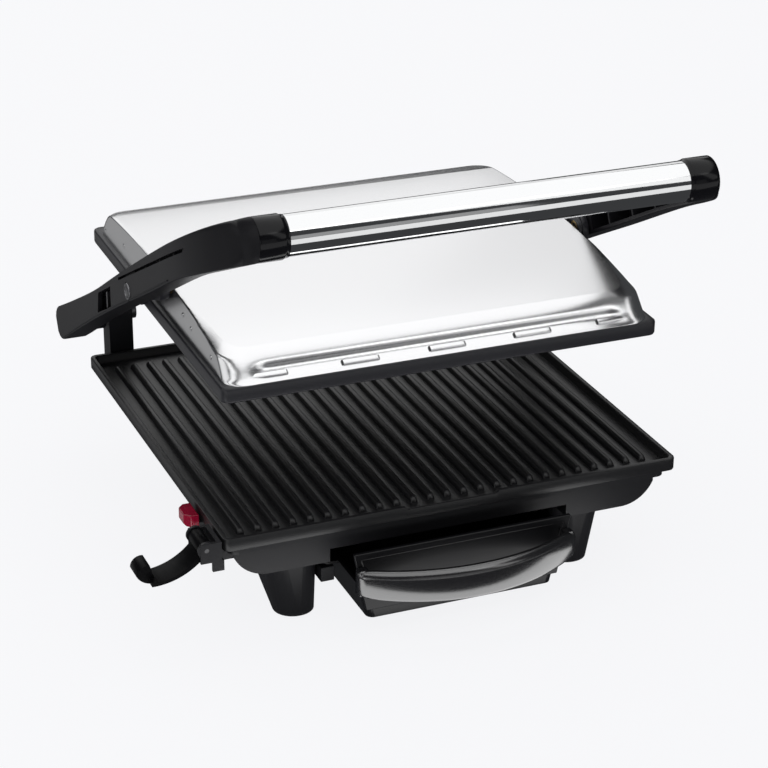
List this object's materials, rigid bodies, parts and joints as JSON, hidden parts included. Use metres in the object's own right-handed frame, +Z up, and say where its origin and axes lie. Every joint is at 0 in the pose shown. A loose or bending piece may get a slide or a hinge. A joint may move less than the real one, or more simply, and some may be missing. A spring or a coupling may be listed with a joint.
{
  "type": "panini press",
  "caption": "Contact grill with ribbed plates, a floating steel-covered lid on swing arms with a chrome tube handle, a drip tray and a latch.",
  "frame": {"origin": "on the worktop under the middle of the lower grill plate, midway between the four feet", "axes": "+Z up, -Y towards the user (the handle and drip tray side), +X to the user's right; X = 0 is the mirror plane of everything but the latch and lamp"},
  "size_m": [0.3783, 0.3779, 0.2983],
  "materials": {
    "arm": "satin dark grey-black plastic",
    "bracket_steel": "zinc-plated strip",
    "brushed_cover": "stainless steel brushed from side to side",
    "bulb_glass": "neon lamp glass",
    "bush": "sintered bronze",
    "ceramic_white": "steatite",
    "chrome_tube": "polished chrome",
    "collar": "gloss black plastic",
    "fastener": "zinc-plated",
    "foot_rubber": "black rubber",
    "gland_rubber": "black rubber",
    "heater": "oxidised steel sheath",
    "housing": "fine-grained black moulded plastic",
    "latch": "black satin plastic",
    "lens_red": "clear red polycarbonate",
    "lid_frame": "satin dark grey-black plastic",
    "nonstick": "black non-stick coating on cast aluminium, semi-gloss",
    "pin_steel": "ground steel",
    "pivot_cap": "blackened steel, turned face",
    "sheath": "glass-fibre sleeve",
    "sheet_steel": "aluminised sheet",
    "tower": "black moulded plastic",
    "tray": "black moulded plastic",
    "tray_gloss": "gloss black plastic",
    "washer": "nylon",
    "wire": "silicone insulation"
  },
  "bodies": {
    "base": {"base_housing": "housing", "base_wiring": "wire", "cord_gland": "gland_rubber", "foot_pads": "foot_rubber", "hinge_tower_screws": "fastener", "hinge_washers": "washer", "indicator_bulb": "bulb_glass", "indicator_lens": "lens_red", "lamp_socket": "housing", "latch_bracket": "housing", "latch_pin": "pin_steel", "left_hinge_pin": "pin_steel", "left_hinge_tower": "tower", "left_tray_rail": "housing", "lower_element_clips": "bracket_steel", "lower_grill_plate": "nonstick", "lower_heat_shield": "sheet_steel", "lower_heating_element": "heater", "lower_thermostat": "ceramic_white", "plate_screws": "fastener", "right_hinge_pin": "pin_steel", "right_hinge_tower": "tower", "right_tray_rail": "housing", "terminal_block": "ceramic_white", "thermal_fuse": "sheath"},
    "arms": {"handle_tie_rod": "pin_steel", "handle_tube": "chrome_tube", "left_arm": "arm", "left_handle_collar": "collar", "left_lid_pivot_screw": "pivot_cap", "right_arm": "arm", "right_handle_collar": "collar", "right_lid_pivot_screw": "pivot_cap"},
    "lid": {"ear_screws": "fastener", "left_lid_lug": "lid_frame", "left_pivot_bush": "bush", "lid_frame": "lid_frame", "lid_screws": "fastener", "lid_wiring": "wire", "right_lid_lug": "lid_frame", "right_pivot_bush": "bush", "steel_cover": "brushed_cover", "upper_element_clips": "bracket_steel", "upper_grill_plate": "nonstick", "upper_heat_shield": "sheet_steel", "upper_heating_element": "heater", "upper_thermostat": "ceramic_white"},
    "tray": {"drip_tray": "tray", "tray_front": "tray", "tray_handle": "tray_gloss"},
    "latch": {"latch_lever": "latch"}
  },
  "joints": [
    {"name": "arm_hinge", "type": "hinge", "parent": "base", "child": "arms", "pos_m": [0, 0.159, 0.107], "axis": [-1, 0, 0], "range_deg": [-25.4, 50]},
    {"name": "lid_pivot", "type": "hinge", "parent": "arms", "child": "lid", "pos_m": [0, -0.01106, 0.19229], "axis": [-1, 0, 0], "range_deg": [-51.9, 26.32]},
    {"name": "tray_slide", "type": "slide", "parent": "base", "child": "tray", "axis": [0, -1, 0], "range_m": [0, 0.15]},
    {"name": "latch_hinge", "type": "hinge", "parent": "base", "child": "latch", "pos_m": [-0.166, -0.137, 0.075], "axis": [0, 1, 0], "range_deg": [0, 86]}
  ],
  "couplings": [
    {"joint": "lid_pivot", "follows": "arm_hinge", "ratio": -1.036}
  ]
}
